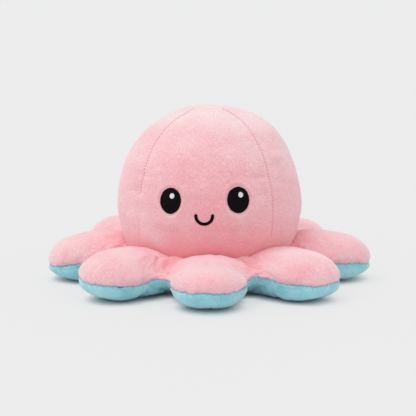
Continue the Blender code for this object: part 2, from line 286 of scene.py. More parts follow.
# How far from the seam its puckers, its pinched line and its ragged edge reach
PUCKER_REACH = 6.0 * MM
PUCKER_START = 1.2 * MM
SEAM_PINCH = 0.45 * MM
SEAM_PINCH_WIDTH = 0.8 * MM
RAGGED_REACH = 1.8 * MM
# Where the folds beside the head are, and how much of them the tentacles and the valleys get
NECK_FOLD_OUT = 2.0 * MM
NECK_FOLD_WIDTH = 6.0 * MM
NECK_FOLD_SHARES = (0.4, 0.9)
NECK_FOLD_VALLEY = 9.0 * MM

# Face
EYE_HALF_WIDTH = 7.1 * MM
EYE_HALF_HEIGHT = 7.95 * MM
# Turn from the face in degrees and height of each eye's middle
EYES = {"left": (-21.2, 57.6 * MM), "right": (20.7, 58.5 * MM)}
EYE_DENT = 0.4 * MM
EYE_RING = 0.2 * MM
# Painted highlight on the raised pile under each eye's edge
EYE_RIM_HIGHLIGHT = 0.6
HIGHLIGHT_HALF_WIDTH = 1.45 * MM
HIGHLIGHT_HALF_HEIGHT = 1.6 * MM
HIGHLIGHT_RIGHT = 1.3 * MM
HIGHLIGHT_UP = 2.95 * MM
HIGHLIGHT_LIFT = 0.5 * MM
# Height of a satin oval's fill and of the band round it, and where the band and its edge are
FILL_HEIGHT = 0.27 * MM
BAND_HEIGHT = 0.28 * MM
BAND_AT = 0.88
BAND_WIDTH = 0.07
OVAL_EDGE = 0.86
SATIN_SINK = 0.35 * MM
EYE_SATIN = 0.5 * MM
SMILE_Z = 49.7 * MM
SMILE_RADIUS = 4.85 * MM
SMILE_LINE = 2.15 * MM
SMILE_HEIGHT = 0.75 * MM
SMILE_SINK = 0.25 * MM
SMILE_SATIN = 0.4 * MM

# Stage and lights
FLOOR_HALF_WIDTH = 20.0
FLOOR_GLOW = 0.74
FLOOR_CONTACT = 6.0 * MM
SKY_LIGHT = 0.78
SKY_SEEN = 0.835
SUN_LIGHT = 0.95
SUN_WIDTH_DEG = 38
SUN_TURN_DEG = (6, -20, 0)

# Camera, fitted to the photograph's 416 by 416 frame
CAMERA_AWAY = 900.0 * MM
CAMERA_UP_DEG = 9.49
CAMERA_TARGET_Z = 50.0 * MM
AIM = Vector((-0.8 * MM, 0, 44.6 * MM))
LENS_PIXELS = 1455.3
FRAME_PIXELS = 416
SENSOR = 36.0


def smoothstep(value, low, high):
    """0 below low, 1 above high, and a smooth rise between them."""
    share = np.clip((value - low) / (high - low), 0, 1)
    return share * share * (3 - 2 * share)


def smooth_max(first, second, softness):
    """The larger of two fields, rounded where they cross."""
    softness = np.maximum(softness, 0.001 * MM)
    share = np.clip(0.5 + 0.5 * (first - second) / softness, 0, 1)
    return second + (first - second) * share + softness / 2 * share * (1 - share)


def smooth_min(first, second, softness):
    """The smaller of two fields, rounded where they cross."""
    return -smooth_max(-first, -second, softness)


def bell(distance, width):
    """1 at no distance, and nearly 0 from twice the width on."""
    return np.exp(-((distance / width) ** 2))


def unit(vectors):
    """The same vectors with a length of 1."""
    return vectors / np.maximum(np.linalg.norm(vectors, axis=-1, keepdims=True), TINY)


def square_to(along, vectors):
    """Unit vectors in the plane of each two, square to the first."""
    return unit(vectors - along * (vectors * along).sum(-1, keepdims=True))


def from_axis(points):
    """How far points are from the Z axis."""
    return np.hypot(points[..., 0], points[..., 1])


def azimuth(points):
    """The turn of points from +X about the Z axis."""
    return np.arctan2(points[..., 1], points[..., 0])


def hashed(cells, seed):
    """A fixed number from 0 to 1 for each whole cell."""
    x, y, z = (cells[..., axis].astype(np.int64) for axis in range(3))
    with np.errstate(over="ignore"):
        mixed = (x * 73856093) ^ (y * 19349663) ^ (z * 83492791) ^ (seed * 2654435761)
        mixed = mixed & LOW_BITS
        mixed = ((mixed ^ (mixed >> 15)) * 2246822519) & LOW_BITS
        mixed = ((mixed ^ (mixed >> 13)) * 3266489917) & LOW_BITS
    return ((mixed ^ (mixed >> 16)) & 0xFFFFFF) / 0xFFFFFF


def noise(points, size, seed):
    """Smooth noise from -1 to 1 whose features are about size wide."""
    scaled = points / size
    cell = np.floor(scaled)
    share = scaled - cell
    share = share * share * (3 - 2 * share)
    total = 0
    for corner in itertools.product((0, 1), repeat=3):
        weight = np.prod(np.where(np.array(corner), share, 1 - share), axis=-1)
        total = total + weight * hashed(cell + np.array(corner), seed)
    return 2 * total - 1


def layered(points, layers):
    """Layers of noise on top of each other."""
    total = 0
    for height, size, seed in layers:
        total = total + height * MM * noise(points, size * MM, seed)
    return total


def on_line(distance):
    """Points that far along a straight line, for noise that runs along a seam."""
    return np.stack([distance, np.zeros_like(distance), np.zeros_like(distance)], -1)


def direction(turn):
    """The level unit vector at an azimuth."""
    return np.stack([np.cos(turn), np.sin(turn), np.zeros_like(turn)], -1)


def distance_to(points, line):
    """How far each flat point is from a line of short straight pieces."""
    start, step = line[:-1], np.diff(line, axis=0)
    offset = points[:, None] - start
    share = np.clip((offset * step).sum(-1) / (step**2).sum(-1), 0, 1)
    return np.linalg.norm(offset - share[..., None] * step, axis=-1).min(1)


def run_of(line):
    """How far along a line each of its points is."""
    return np.concatenate([[0], np.cumsum(np.linalg.norm(np.diff(line, axis=0), axis=1))])


def evenly(line, count):
    """The same line with count + 1 points, evenly spaced."""
    along = run_of(line)
    at = np.linspace(0, along[-1], count + 1)
    return np.stack([np.interp(at, along, line[:, axis]) for axis in range(line.shape[1])], -1)


def spaced(line, step):
    """The same line with points about a step apart."""
    return evenly(line, round(run_of(line)[-1] / step))


def vertex_normals(points, faces):
    """Unit normals from the faces round each point."""
    total = np.zeros_like(points)
    for face in faces:
        corners = points[face]
        normal = np.cross(corners[:, 1] - corners[:, 0], corners[:, 2] - corners[:, 0])
        if face.shape[1] == 4:
            normal = normal + np.cross(corners[:, 2] - corners[:, 0], corners[:, 3] - corners[:, 0])
        for column in range(face.shape[1]):
            np.add.at(total, face[:, column], normal)
    return unit(total)


def add_mesh(name, points, faces, material, uv=None, lay=None):
    """An object from points and lists of faces, shaded smooth, with the pile's direction and an attribute
    of painted light and shade mixed with random tone.
    """
    mesh = bpy.data.meshes.new(name)
    corner_lists = [list(map(int, face)) for group in faces for face in group]
    mesh.from_pydata(points.tolist(), [], corner_lists)
    mesh.shade_smooth()
    if material is not None:
        mesh.materials.append(material)
    if uv is not None:
        layer = mesh.uv_layers.new(name="pile")
        corner = np.zeros(len(mesh.loops), np.int32)
        mesh.loops.foreach_get("vertex_index", corner)
        layer.data.foreach_set("uv", uv[corner].astype(np.float32).ravel())
    # The attribute holds painted light above zero and painted shade below it, mixed with the pile's random
    # tone.
    if lay is not None:
        mesh.attributes.new("lay", "FLOAT", "POINT").data.foreach_set("value", lay.astype(np.float32))
    thing = bpy.data.objects.new(name, mesh)
    bpy.context.scene.collection.objects.link(thing)
    return thing


def add_cloth(name, points, faces, border, thickness, material, uv, normals=None, shading=None, lay=None):
    """A piece of cloth with a thickness: its outer side, an inner side and the rim between them."""
    given = normals is not None
    if not given:
        normals = vertex_normals(points, faces)
    count = len(points)
    inner = points - normals * thickness
    ring = np.array(border)
    after = np.roll(ring, -1)
    rim = np.stack([after, ring, ring + count, after + count], -1)
    groups = [*faces, *[face[:, ::-1] + count for face in faces], rim]
    lay = np.zeros(count) if lay is None else lay
    thing = add_mesh(
        name,
        np.concatenate([points, inner]),
        groups,
        material,
        np.concatenate([uv, uv]),
        np.concatenate([lay, lay]),
    )
    if given:
        corner = np.concatenate([shading, -normals])
        rim_points = np.concatenate([points, inner])[rim]
        rim_sides = rim_points[:, [1, 3]] - rim_points[:, :1]
        rim_normal = unit(np.cross(rim_sides[:, 0], rim_sides[:, 1]))
        loops = [corner[face].reshape(-1, 3) for face in groups[:-1]]
        loops.append(np.repeat(rim_normal, 4, axis=0))
        thing.data.normals_split_custom_set(np.concatenate(loops).tolist())
    else:
        edge_keys = {tuple(sorted(pair)) for pair in zip(ring.tolist(), after.tolist())}
        edge_keys |= {(a + count, b + count) for a, b in edge_keys}
        for edge in thing.data.edges:
            edge.use_edge_sharp = tuple(sorted(edge.vertices)) in edge_keys
    return thing


def grid_faces(rows, columns):
    """Quads of a grid of rows by columns points, whose normal is along (down the rows) x (along a row)."""
    index = np.arange(rows * columns).reshape(rows, columns)
    quads = np.stack([index[:-1, :-1], index[1:, :-1], index[1:, 1:], index[:-1, 1:]], -1)
    return quads.reshape(-1, 4)


def grid_border(rows, columns):
    """The points round a grid's edge, in the order that its faces turn."""
    index = np.arange(rows * columns).reshape(rows, columns)
    return np.concatenate([index[:, 0], index[-1, 1:], index[::-1, -1][1:], index[0, ::-1][1:-1]])


def add_threads(name, middles, along, out, length, thick, material):
    """Stitches in one piece: short threads, along one way, whose ends dip into the cloth."""
    rings, corners = 5, 6
    share = np.linspace(-1, 1, rings)
    turn = np.arange(corners) * 2 * math.pi / corners
    side = np.cross(along, out)
    rise = thick * (1 - 2 * share**2)
    wide = thick * np.sqrt(1.05 - share**2)
    centre = middles[:, None] + along[:, None] * (share * length / 2)[:, None]
    centre = centre + out[:, None] * rise[:, None]
    ring = side[:, None, None] * np.cos(turn)[:, None] + out[:, None, None] * np.sin(turn)[:, None]
    points = (centre[:, :, None] + ring * wide[:, None, None]).reshape(-1, 3)
    index = np.arange(len(points)).reshape(len(middles), rings, corners)
    after = np.roll(index, -1, 2)
    quads = np.stack([index[:, :-1], after[:, :-1], after[:, 1:], index[:, 1:]], -1).reshape(-1, 4)
    across = np.tile(np.linspace(0, thick, corners), len(points) // corners)
    uv = np.stack([across, np.arange(len(points)) // corners * MM], -1)
    return add_mesh(name, points, [quads, index[:, 0, ::-1], index[:, -1]], material, uv)


# Materials


def add_node(tree, kind, inputs=None, **settings):
    """A shader node with its settings and inputs; an input is a value or another node's socket."""
    node = tree.nodes.new(kind)
    for name, value in settings.items():
        setattr(node, name, value)
    for name, value in (inputs or {}).items():
        socket = node.inputs[name]
        if isinstance(value, bpy.types.NodeSocket):
            tree.links.new(value, socket)
        else:
            socket.default_value = value
    return node


def maths(tree, operation, *values, kind="ShaderNodeMath"):
    """What a sum of values or sockets comes to."""
    return add_node(tree, kind, dict(enumerate(values)), operation=operation).outputs[0]


def mixed_colour(tree, share, first, second):
    """Colour between two others, each a socket or red, green and blue."""
    ends = [end if isinstance(end, bpy.types.NodeSocket) else (*end, 1) for end in (first, second)]
    return add_node(tree, "ShaderNodeMix", {0: share, 6: ends[0], 7: ends[1]}, data_type="RGBA").outputs[2]


def ranged(tree, value, low, high, to_low=0.0, to_high=1.0):
    """A value's range moved to another one."""
    inputs = {"Value": value, "From Min": low, "From Max": high, "To Min": to_low, "To Max": to_high}
    return add_node(tree, "ShaderNodeMapRange", inputs).outputs[0]


def noise_texture(tree, vector, scale, detail=2.0, roughness=0.5):
    """A noise texture's value."""
    inputs = {"Vector": vector, "Scale": scale, "Detail": detail, "Roughness": roughness}
    return add_node(tree, "ShaderNodeTexNoise", inputs).outputs[0]


def new_material(name, inputs):
    """A material, its nodes and its shader, some of whose inputs are given."""
    material = bpy.data.materials.new(name)
    material.use_nodes = True
    shader = material.node_tree.nodes["Principled BSDF"]
    for socket, value in inputs.items():
        shader.inputs[socket].default_value = value
    return material, material.node_tree, shader


def plush_material(name, middle, deep, pale, pressed, crease_shadow, raised, shade, light, sheen_tint):
    """Short brushed pile: mottled colour, fine streaks along the nap, and a pale sheen at the edges.

    Where the attribute is below zero, shade is painted as a deeper colour, and from -1 on a darker painted
    shadow for the deepest creases;
    above zero, light is painted as a paler colour. The finest streaks tint the colour by a share from shade
    to light, and less where light is painted.
    """
    inputs = {
        "Roughness": 0.95,
        "Specular IOR Level": 0.15,
        "Sheen Weight": 0.82,
        "Sheen Roughness": 0.8,
        "Sheen Tint": (*sheen_tint, 1),
    }
    material, tree, shader = new_material(name, inputs)
    place = add_node(tree, "ShaderNodeTexCoord").outputs["Object"]
    nap = add_node(tree, "ShaderNodeUVMap", uv_map="pile").outputs[0]
    swirl = add_node(tree, "ShaderNodeTexNoise", {"Vector": place, "Scale": 45.0}).outputs[1]
    nap = maths(tree, "MULTIPLY_ADD", swirl, (0.008, 0.008, 0.0), nap, kind="ShaderNodeVectorMath")
    nap = add_node(tree, "ShaderNodeMapping", {"Vector": nap, "Scale": (1050, 420, 1)}).outputs[0]
    fine_nap = add_node(tree, "ShaderNodeMapping", {"Vector": nap, "Scale": (1.7, 1.9, 1)}).outputs[0]
    streaks = noise_texture(tree, nap, 1.0, 3.0, 0.6)
    fine = noise_texture(tree, fine_nap, 1.0)
    fluff = noise_texture(tree, place, 900.0, 2.0, 0.6)
    brushed = noise_texture(tree, place, 130.0, 3.0, 0.55)
    mottle = noise_texture(tree, place, 28.0)
    lay = add_node(tree, "ShaderNodeAttribute", attribute_name="lay").outputs["Fac"]
    colour = mixed_colour(tree, ranged(tree, mottle, 0.4, 0.62), middle, deep)
    colour = mixed_colour(tree, ranged(tree, brushed, 0.45, 0.68, 0.0, 0.45), colour, pale)
    colour = mixed_colour(tree, ranged(tree, streaks, 0.5, 0.72, 0.0, 0.45), colour, pale)
    colour = mixed_colour(tree, ranged(tree, streaks, 0.44, 0.28, 0.0, 0.45), colour, pressed)
    # Painted shade below zero, a darker painted shadow for creases from -0.95 on, and painted light above
    # zero
    colour = mixed_colour(tree, ranged(tree, lay, 0.0, -1.0), colour, pressed)
    colour = mixed_colour(tree, ranged(tree, lay, -0.95, -1.5), colour, crease_shadow)
    colour = mixed_colour(tree, ranged(tree, lay, 0.0, 1.0), colour, raised)
    strength = ranged(tree, lay, 0.7, 0.0, 0.45, 1.0)
    share = maths(tree, "MULTIPLY_ADD", ranged(tree, fine, 0.36, 0.64, -0.5, 0.5), strength, 0.5)
    grain = mixed_colour(tree, share, shade, light)
    tint = maths(tree, "MULTIPLY", colour, grain, kind="ShaderNodeVectorMath")
    tree.links.new(tint, shader.inputs["Base Color"])
    height = maths(tree, "ADD", streaks, fluff)
    bump = add_node(tree, "ShaderNodeBump", {"Height": height, "Strength": 0.6, "Distance": 0.7 * MM})
    tree.links.new(bump.outputs[0], shader.inputs["Normal"])
    return material


def thread_material(name, colour, light):
    """Satin embroidery: fine parallel threads with a soft shine."""
    material, tree, shader = new_material(name, {"Roughness": 0.55, "Specular IOR Level": 0.06})
    threads = add_node(tree, "ShaderNodeUVMap", uv_map="pile").outputs[0]
    inputs = {"Vector": threads, "Scale": 420.0, "Distortion": 1.5, "Detail": 2.0, "Detail Scale": 1.0}
    wave = add_node(tree, "ShaderNodeTexWave", inputs, bands_direction="Y").outputs["Fac"]
    tree.links.new(mixed_colour(tree, wave, colour, light), shader.inputs["Base Color"])
    bump = add_node(tree, "ShaderNodeBump", {"Height": wave, "Strength": 0.5, "Distance": 0.15 * MM})
    tree.links.new(bump.outputs[0], shader.inputs["Normal"])
    return material


# Skirt and tentacles


def half_outline(count):
    """Evenly spaced points along half a tentacle's seam, from its tip to the notch beside it."""
    turn = np.linspace(0, math.pi / 2, 400)
    out, across = np.cos(turn), np.sin(turn)
    grow = (out**LOBE_POWER + across**LOBE_POWER) ** (-1 / LOBE_POWER)
    lobe = np.stack([LOBE_MIDDLE + LOBE_REACH * out * grow, LOBE_HALF_WIDTH * across * grow], -1)
    half_turn = TENTACLE_TURN / 2
    notch = NOTCH_RADIUS * np.array([math.cos(half_turn), math.sin(half_turn)])
    arriving = np.array([-math.sin(half_turn), math.cos(half_turn)])
    hold = (lobe[-1], lobe[-1] - (NOTCH_PULL, 0), notch - NOTCH_PULL * arriving, notch)
    share = np.linspace(0, 1, 120)[1:, None]
    fillet = sum(
        math.comb(3, power) * (1 - share) ** (3 - power) * share**power * hold[power]
        for power in range(4)
    )
    return evenly(np.concatenate([lobe, fillet]), count)


def lobe_share(x, y, half_width, out_power, across_power, fullness):
    """The height share of the tentacle's rounded form over a flat point, from 0 at its edge to 1."""
    out = np.clip((x - LOBE_MIDDLE) / LOBE_REACH, 0, 1) ** out_power
    across = (np.abs(y) / half_width) ** across_power
    return np.clip(1 - out - across, 0, 1) ** fullness


def edge_share(distance, width):
    """The height share of stuffed cloth that rounds over at its seam, at a distance from the seam."""
    return np.sqrt(1 - (1 - np.clip(distance / width, 0, 1)) ** 2)


def top_height(x, y, distance, seam):
    """The height of the pink side over a flat point of one tentacle's sector."""
    inwards = np.clip((LOBE_MIDDLE - x) / (LOBE_MIDDLE - HEAD_RADIUS), 0, None)
    crest = LOBE_TOP_Z - ROOT_FALL * inwards**2
    border = np.clip(x, 0, None) * math.tan(TENTACLE_TURN / 2) + VALLEY_MARGIN
    half_width = LOBE_HALF_WIDTH + (border - LOBE_HALF_WIDTH) * smoothstep(LOBE_MIDDLE - x, 0, ROOT_SPREAD)
    full = lobe_share(x, y, half_width, LOBE_POWER, LOBE_POWER, TOP_FULLNESS)
    full = np.minimum(full, edge_share(distance, ROOT_EDGE))
    lobe = seam + (crest - seam) * full
    radius = np.hypot(x, y)
    rise = WEB_RISE + WEB_RISE_SLOPE * np.clip(WEB_START - radius, 0, None)
    web = seam + rise * edge_share(distance, WEB_EDGE)
    softness = WEB_SOFTNESS * np.clip(distance / WEB_EDGE, 0, 1)
    return smooth_max(lobe, web, softness)


def under_height(x, y, distance, seam):
    """The height of the blue side over a flat point of one tentacle's sector."""
    full = lobe_share(x, y, LOBE_HALF_WIDTH, UNDER_OUT_POWER, UNDER_ACROSS_POWER, UNDER_FULLNESS)
    lobe = seam - (seam + LOBE_SINK) * full
    radius = np.hypot(x, y)
    drop = WEB_DROP + WEB_DROP_SLOPE * np.clip(WEB_START - radius, 0, None)
    web = seam - drop * edge_share(distance, WEB_EDGE)
    softness = UNDER_SOFTNESS * np.clip(distance / WEB_EDGE, 0, 1)
    lower = smooth_min(lobe, web, softness)
    return smooth_max(lower, np.zeros_like(lower), FLOOR_SOFTNESS * np.clip(distance / WEB_EDGE, 0, 1))


def lip_radius(height):
    """How wide the skirt's lip is at a height, round the ball that the head turns in."""
    return np.sqrt((HEAD_BALL_RADIUS - CONTACT_PRESS) ** 2 - (height - HEAD_MIDDLE_Z) ** 2)


def head_radius(height):
    """The head's radius at a height: a swollen form, and below it a ball round the head's hinge."""
    share = np.abs((height - HEAD_MIDDLE_Z) / HEAD_HALF_HEIGHT)
    swollen = HEAD_RADIUS * np.clip(1 - share**HEAD_POWER, 0, 1) ** (1 / HEAD_POWER)
    ball = np.sqrt(np.clip(HEAD_BALL_RADIUS**2 - (height - HEAD_MIDDLE_Z) ** 2, 0, None))
    above = smoothstep(height, HEAD_BALL_TOP_Z, HEAD_BALL_TOP_Z + HEAD_BALL_FADE)
    return ball + (swollen - ball) * above


def sector_half():
    """Half a tentacle's sector as a grid of points, from the neck over the top to the seam and back."""
    outline = half_outline(HALF_COLUMNS)
    fine = half_outline(HALF_COLUMNS * 12)
    turn = np.arctan2(outline[:, 1], outline[:, 0])
    reach = np.hypot(outline[:, 0], outline[:, 1])
    notch_share = turn / (TENTACLE_TURN / 2)
    seam = SEAM_Z + NOTCH_SEAM_RISE * smoothstep(notch_share, 0.5, 1.0)
    contact_z = CONTACT_Z + CONTACT_WAVE * np.cos(notch_share * math.pi)
    contact = lip_radius(contact_z)
    rows = []

    def add_row(radius, height):
        rows.append(np.stack([radius * np.cos(turn), radius * np.sin(turn), height], -1))

    def field(kind, radius):
        x, y = radius * np.cos(turn), radius * np.sin(turn)
        distance = distance_to(np.stack([x, y], -1), fine)
        return kind(x, y, distance, seam)

    for step in range(LIP_ROWS):
        height = LIP_FOOT_Z + (contact_z - LIP_FOOT_Z) * step / LIP_ROWS
        add_row(lip_radius(height), height)
    drop = field(top_height, contact) - contact_z
    for step in range(TOP_ROWS):
        share = (1 + math.cos(math.pi * step / TOP_ROWS)) / 2
        radius = reach - (reach - contact) * share
        rounding = 1 - np.sqrt(1 - (1 - np.clip((radius - contact) / LIP, 0, 1)) ** 2)
        add_row(radius, field(top_height, radius) - drop * rounding)
    add_row(reach, seam)
    inner = MOUTH_RADIUS + MOUTH_LIP
    for step in range(1, UNDER_ROWS + 1):
        share = 1 - math.cos(math.pi / 2 * step / UNDER_ROWS)
        radius = reach - (reach - inner) * share
        add_row(radius, field(under_height, radius))
    for step in range(1, MOUTH_ROWS + 1):
        bend = min(step / (MOUTH_ROWS - 2), 1) * math.pi / 2
        radius = np.full_like(turn, inner - MOUTH_LIP * math.sin(bend))
        height = MOUTH_LIP * (1 - math.cos(bend))
        height += (MOUTH_TOP_Z - MOUTH_LIP) * max(step - MOUTH_ROWS + 2, 0) / 2
        add_row(radius, np.full_like(turn, height))
    return np.array(rows)


def varied(sector, longer, wider, taller, aside, tip_rise, left_rise, right_rise, fuller):
    """A sector with its tentacle a little longer, wider, taller, more to the side or tilted."""
    x, y, z = np.moveaxis(sector, -1, 0)
    outer = smoothstep(x, *SHAPE_CHANGES)
    side_rise = np.where(y > 0, left_rise, right_rise) * MM * np.abs(y) / LOBE_HALF_WIDTH
    raised = tip_rise * MM * smoothstep(x, *TIP_RISES) + side_rise * smoothstep(x, *SIDES_RISE)
    inwards = 1 - smoothstep(np.abs(np.arctan2(y, x)) / (TENTACLE_TURN / 2), 0.5, 1.0)
    swollen = taller * inwards + fuller * smoothstep(x, *TIP_SWELLS)
    z = z + np.clip(z - SEAM_Z, 0, None) * swollen
    z = z + raised * np.clip(z / SEAM_Z, 0, 1)
    x = x + longer * MM * outer
    y = y * (1 + wider * outer) + aside * MM * outer
    changed = np.stack([x, y, z], -1)
    lip = changed[: LIP_ROWS + 1]
    lip[..., :2] *= (lip_radius(lip[..., 2]) / from_axis(lip))[..., None]
    return changed


def skirt_grid():
    """All eight sectors as one grid of rows by columns points, closed round the Z axis."""
    half = sector_half()
    mirrored = half[:, :0:-1] * (1, -1, 1)
    sector = np.concatenate([mirrored, half[:, :-1]], 1)
    parts = []
    for index, name in enumerate(TENTACLES):
        x, y, z = np.moveaxis(varied(sector, *TENTACLE_SHAPES[name]), -1, 0)
        cos, sin = math.cos(index * TENTACLE_TURN), math.sin(index * TENTACLE_TURN)
        parts.append(np.stack([x * cos - y * sin, x * sin + y * cos, z], -1))
    grid = np.concatenate(parts, 1)
    away = np.degrees(azimuth(grid)) - (HIGH_NOTCH_DEG - 360)
    rise = HIGH_NOTCH_RISE * bell(away, HIGH_NOTCH_WIDTH_DEG)
    rise = rise * smoothstep(from_axis(grid), HEAD_RADIUS, NOTCH_RADIUS)
    grid[..., 2] += rise * np.clip(grid[..., 2] / SEAM_Z, 0, 1)
    return grid


def finer(grid):
    """The same grid with a point between each two, along and across, on smooth curves."""
    before, after = np.roll(grid, 1, 1), np.roll(grid, -1, 1)
    middle = (9 * (grid + after) - before - np.roll(grid, -2, 1)) / 16
    wide = np.empty((grid.shape[0], 2 * grid.shape[1], 3))
    wide[:, 0::2] = grid
    wide[:, 1::2] = middle
    padded = np.concatenate([2 * wide[:1] - wide[1:2], wide, 2 * wide[-1:] - wide[-2:-1]])
    middle = (9 * (padded[1:-2] + padded[2:-1]) - padded[:-3] - padded[3:]) / 16
    tall = np.empty((2 * wide.shape[0] - 1, wide.shape[1], 3))
    tall[0::2] = wide
    tall[1::2] = middle
    return tall


def grid_normals(grid):
    """Unit normals of a grid that is closed along its rows."""
    return unit(np.cross(np.gradient(grid, axis=0), np.roll(grid, -1, 1) - np.roll(grid, 1, 1)))


def depth_down(grid):
    """How far down its column, along the cloth, each point of a grid is."""
    steps = np.linalg.norm(np.diff(grid, axis=0), axis=-1)
    return np.concatenate([np.zeros((1, grid.shape[1])), np.cumsum(steps, 0)])


def filled(grid, seam_row):
    """The grid after a short cloth simulation.

    The filling swells the cloth and the tight seam gathers it, while the lip, the mouth and what rests on
    the floor are held.
    """
    rows, columns = grid.shape[:2]
    index = np.arange(rows * columns).reshape(rows, columns)
    beside = np.roll(index, -1, 1)
    quads = np.stack([index[:-1], index[1:], beside[1:], beside[:-1]], -1).reshape(-1, 4)
    start = grid.reshape(-1, 3)
    thing = add_mesh("skirt_before_filling", start, [quads], None)
    held = thing.vertex_groups.new(name="held")
    free_row = LIP_ROWS + 2
    held.add(index[:free_row].ravel().tolist(), 1.0, "REPLACE")
    held.add(index[free_row].tolist(), 0.6, "REPLACE")
    held.add(index[free_row + 1].tolist(), 0.3, "REPLACE")
    held.add(index[rows - MOUTH_ROWS - 1 :].ravel().tolist(), 1.0, "REPLACE")
    resting = index[seam_row:][grid[seam_row:, :, 2] < RESTING_Z]
    held.add(resting.tolist(), 1.0, "REPLACE")
    sewn = thing.vertex_groups.new(name="sewn")
    for row, weight in ((0, 1.0), (-1, 0.6), (1, 0.6), (-2, 0.25), (2, 0.25)):
        sewn.add(index[seam_row + row].tolist(), weight, "REPLACE")
    cloth = thing.modifiers.new("filling", "CLOTH")
    settings = cloth.settings
    settings.quality = 4
    settings.mass = 0.15
    settings.tension_stiffness = 12
    settings.compression_stiffness = 12
    settings.shear_stiffness = 4
    settings.bending_stiffness = 0.15
    settings.use_pressure = True
    settings.uniform_pressure_force = FILL_PRESSURE
    settings.vertex_group_mass = held.name
    settings.vertex_group_shrink = sewn.name
    settings.shrink_min = -FILL_GROWTH
    settings.shrink_max = SEAM_SHRINK
    settings.effector_weights.gravity = 0
    cloth.point_cache.frame_end = FILL_FRAMES
    scene = bpy.context.scene
    for frame_number in range(1, FILL_FRAMES + 1):
        scene.frame_set(frame_number)
    moved = np.empty(rows * columns * 3, np.float32)
    thing.evaluated_get(bpy.context.evaluated_depsgraph_get()).data.vertices.foreach_get("co", moved)
    bpy.data.objects.remove(thing)
    scene.frame_set(1)
    step = moved.reshape(-1, 3) - start
    length = np.linalg.norm(step, axis=1, keepdims=True)
    step = step * np.minimum(FILL_CAP / np.maximum(length, TINY), 1)
    return (start + step).reshape(grid.shape)


def notch_creases(dice):
    """Short creases that run from each notch between two tentacles up over their flanks."""
    found = []
    notch_radius = NOTCH_RADIUS / MM
    for index in range(len(TENTACLES)):
        notch = (index + 0.5) * 360 / len(TENTACLES)
        for side in np.linspace(-1, 1, NOTCH_CREASES):
            spread = side * dice.uniform(5, 8)
            end = (notch_radius + dice.uniform(-7, 3), notch + spread)
            start = (notch_radius - 1.5, notch + side * 2.2)
            found.append(((start, end), dice.uniform(0.25, 0.45), dice.uniform(1.3, 1.7)))
    return found


def crease_depth(grid, seam_row, creases):
    """How far the skirt's top is pressed in along its creases, with a slight ridge on either side."""
    top = grid[: seam_row + 1].reshape(-1, 3)
    total = np.zeros(len(top))
    for path, depth, width in creases:
        radius, turn = np.array(path).T
        flat = evenly((radius * MM * direction(np.radians(turn)).T)[:2].T, 12)
        line = top[[np.argmin(((top[:, :2] - point) ** 2).sum(1)) for point in flat]]
        reach = 4 * width * MM
        near = np.nonzero(np.all((top > line.min(0) - reach) & (top < line.max(0) + reach), axis=1))[0]
        away = distance_to(top[near], evenly(line, 12)) / (width * MM)
        total[near] += depth * MM * (0.35 * bell(away - 2, 1) - bell(away, 1))
    made = np.zeros(grid.shape[:2])
    made[: seam_row + 1] = total.reshape(seam_row + 1, -1)
    return made


def evened(field, times):
    """A field on the grid with each value drawn to those round it, so that neighbours never cross."""
    for _ in range(times):
        field = (np.roll(field, 1, 1) + 2 * field + np.roll(field, -1, 1)) / 4
        field = np.concatenate([field[:1], (field[:-2] + 2 * field[1:-1] + field[2:]) / 4, field[-1:]])
    return field


def skirt_detail(grid, seam_row):
    """Lumps of filling, folds beside the head, creases, and a puckered and ragged seam."""
    radius, turn = from_axis(grid), azimuth(grid)
    along = run_of(grid[seam_row])
    depth = depth_down(grid)
    depth = depth - depth[seam_row]
    puckers = layered(on_line(along), SEAM_PUCKERS)
    puckers = puckers * np.exp(-np.abs(depth) / PUCKER_REACH) * (1 - bell(depth, PUCKER_START))
    aside = radius * TENTACLE_TURN * np.abs((turn / TENTACLE_TURN) % 1 - 0.5)
    everywhere, in_valleys = NECK_FOLD_SHARES
    folds = layered(on_line(turn * HEAD_RADIUS), NECK_FOLDS)
    folds = folds * bell(radius - HEAD_RADIUS - NECK_FOLD_OUT, NECK_FOLD_WIDTH)
    folds = folds * (everywhere + in_valleys * bell(aside, NECK_FOLD_VALLEY))
    folds = folds * (np.arange(grid.shape[0]) < seam_row)[:, None]
    creases = [*CREASES, *notch_creases(np.random.default_rng(SEED + 1))]
    pressed = crease_depth(grid, seam_row, creases) * (1 - NOTCH_PRESS * bell(aside, NOTCH_PRESS_WIDTH))
    free = smoothstep(grid[..., 2], RESTING_Z, 4 * MM)
    free = free * smoothstep(radius, HEAD_BALL_RADIUS - 3 * MM, HEAD_BALL_RADIUS + 4 * MM)
    stand = (layered(grid, SKIRT_LUMPS) + puckers + evened(folds + pressed, 1)) * free
    stand = stand - SEAM_PINCH * bell(depth, SEAM_PINCH_WIDTH)
    shift = layered(on_line(along), RAGGED_SEAM) * bell(depth, RAGGED_REACH)
    normals = unit(evened(grid_normals(grid), 6))
    return grid + normals * stand[..., None] + unit(np.gradient(grid, axis=0)) * shift[..., None]


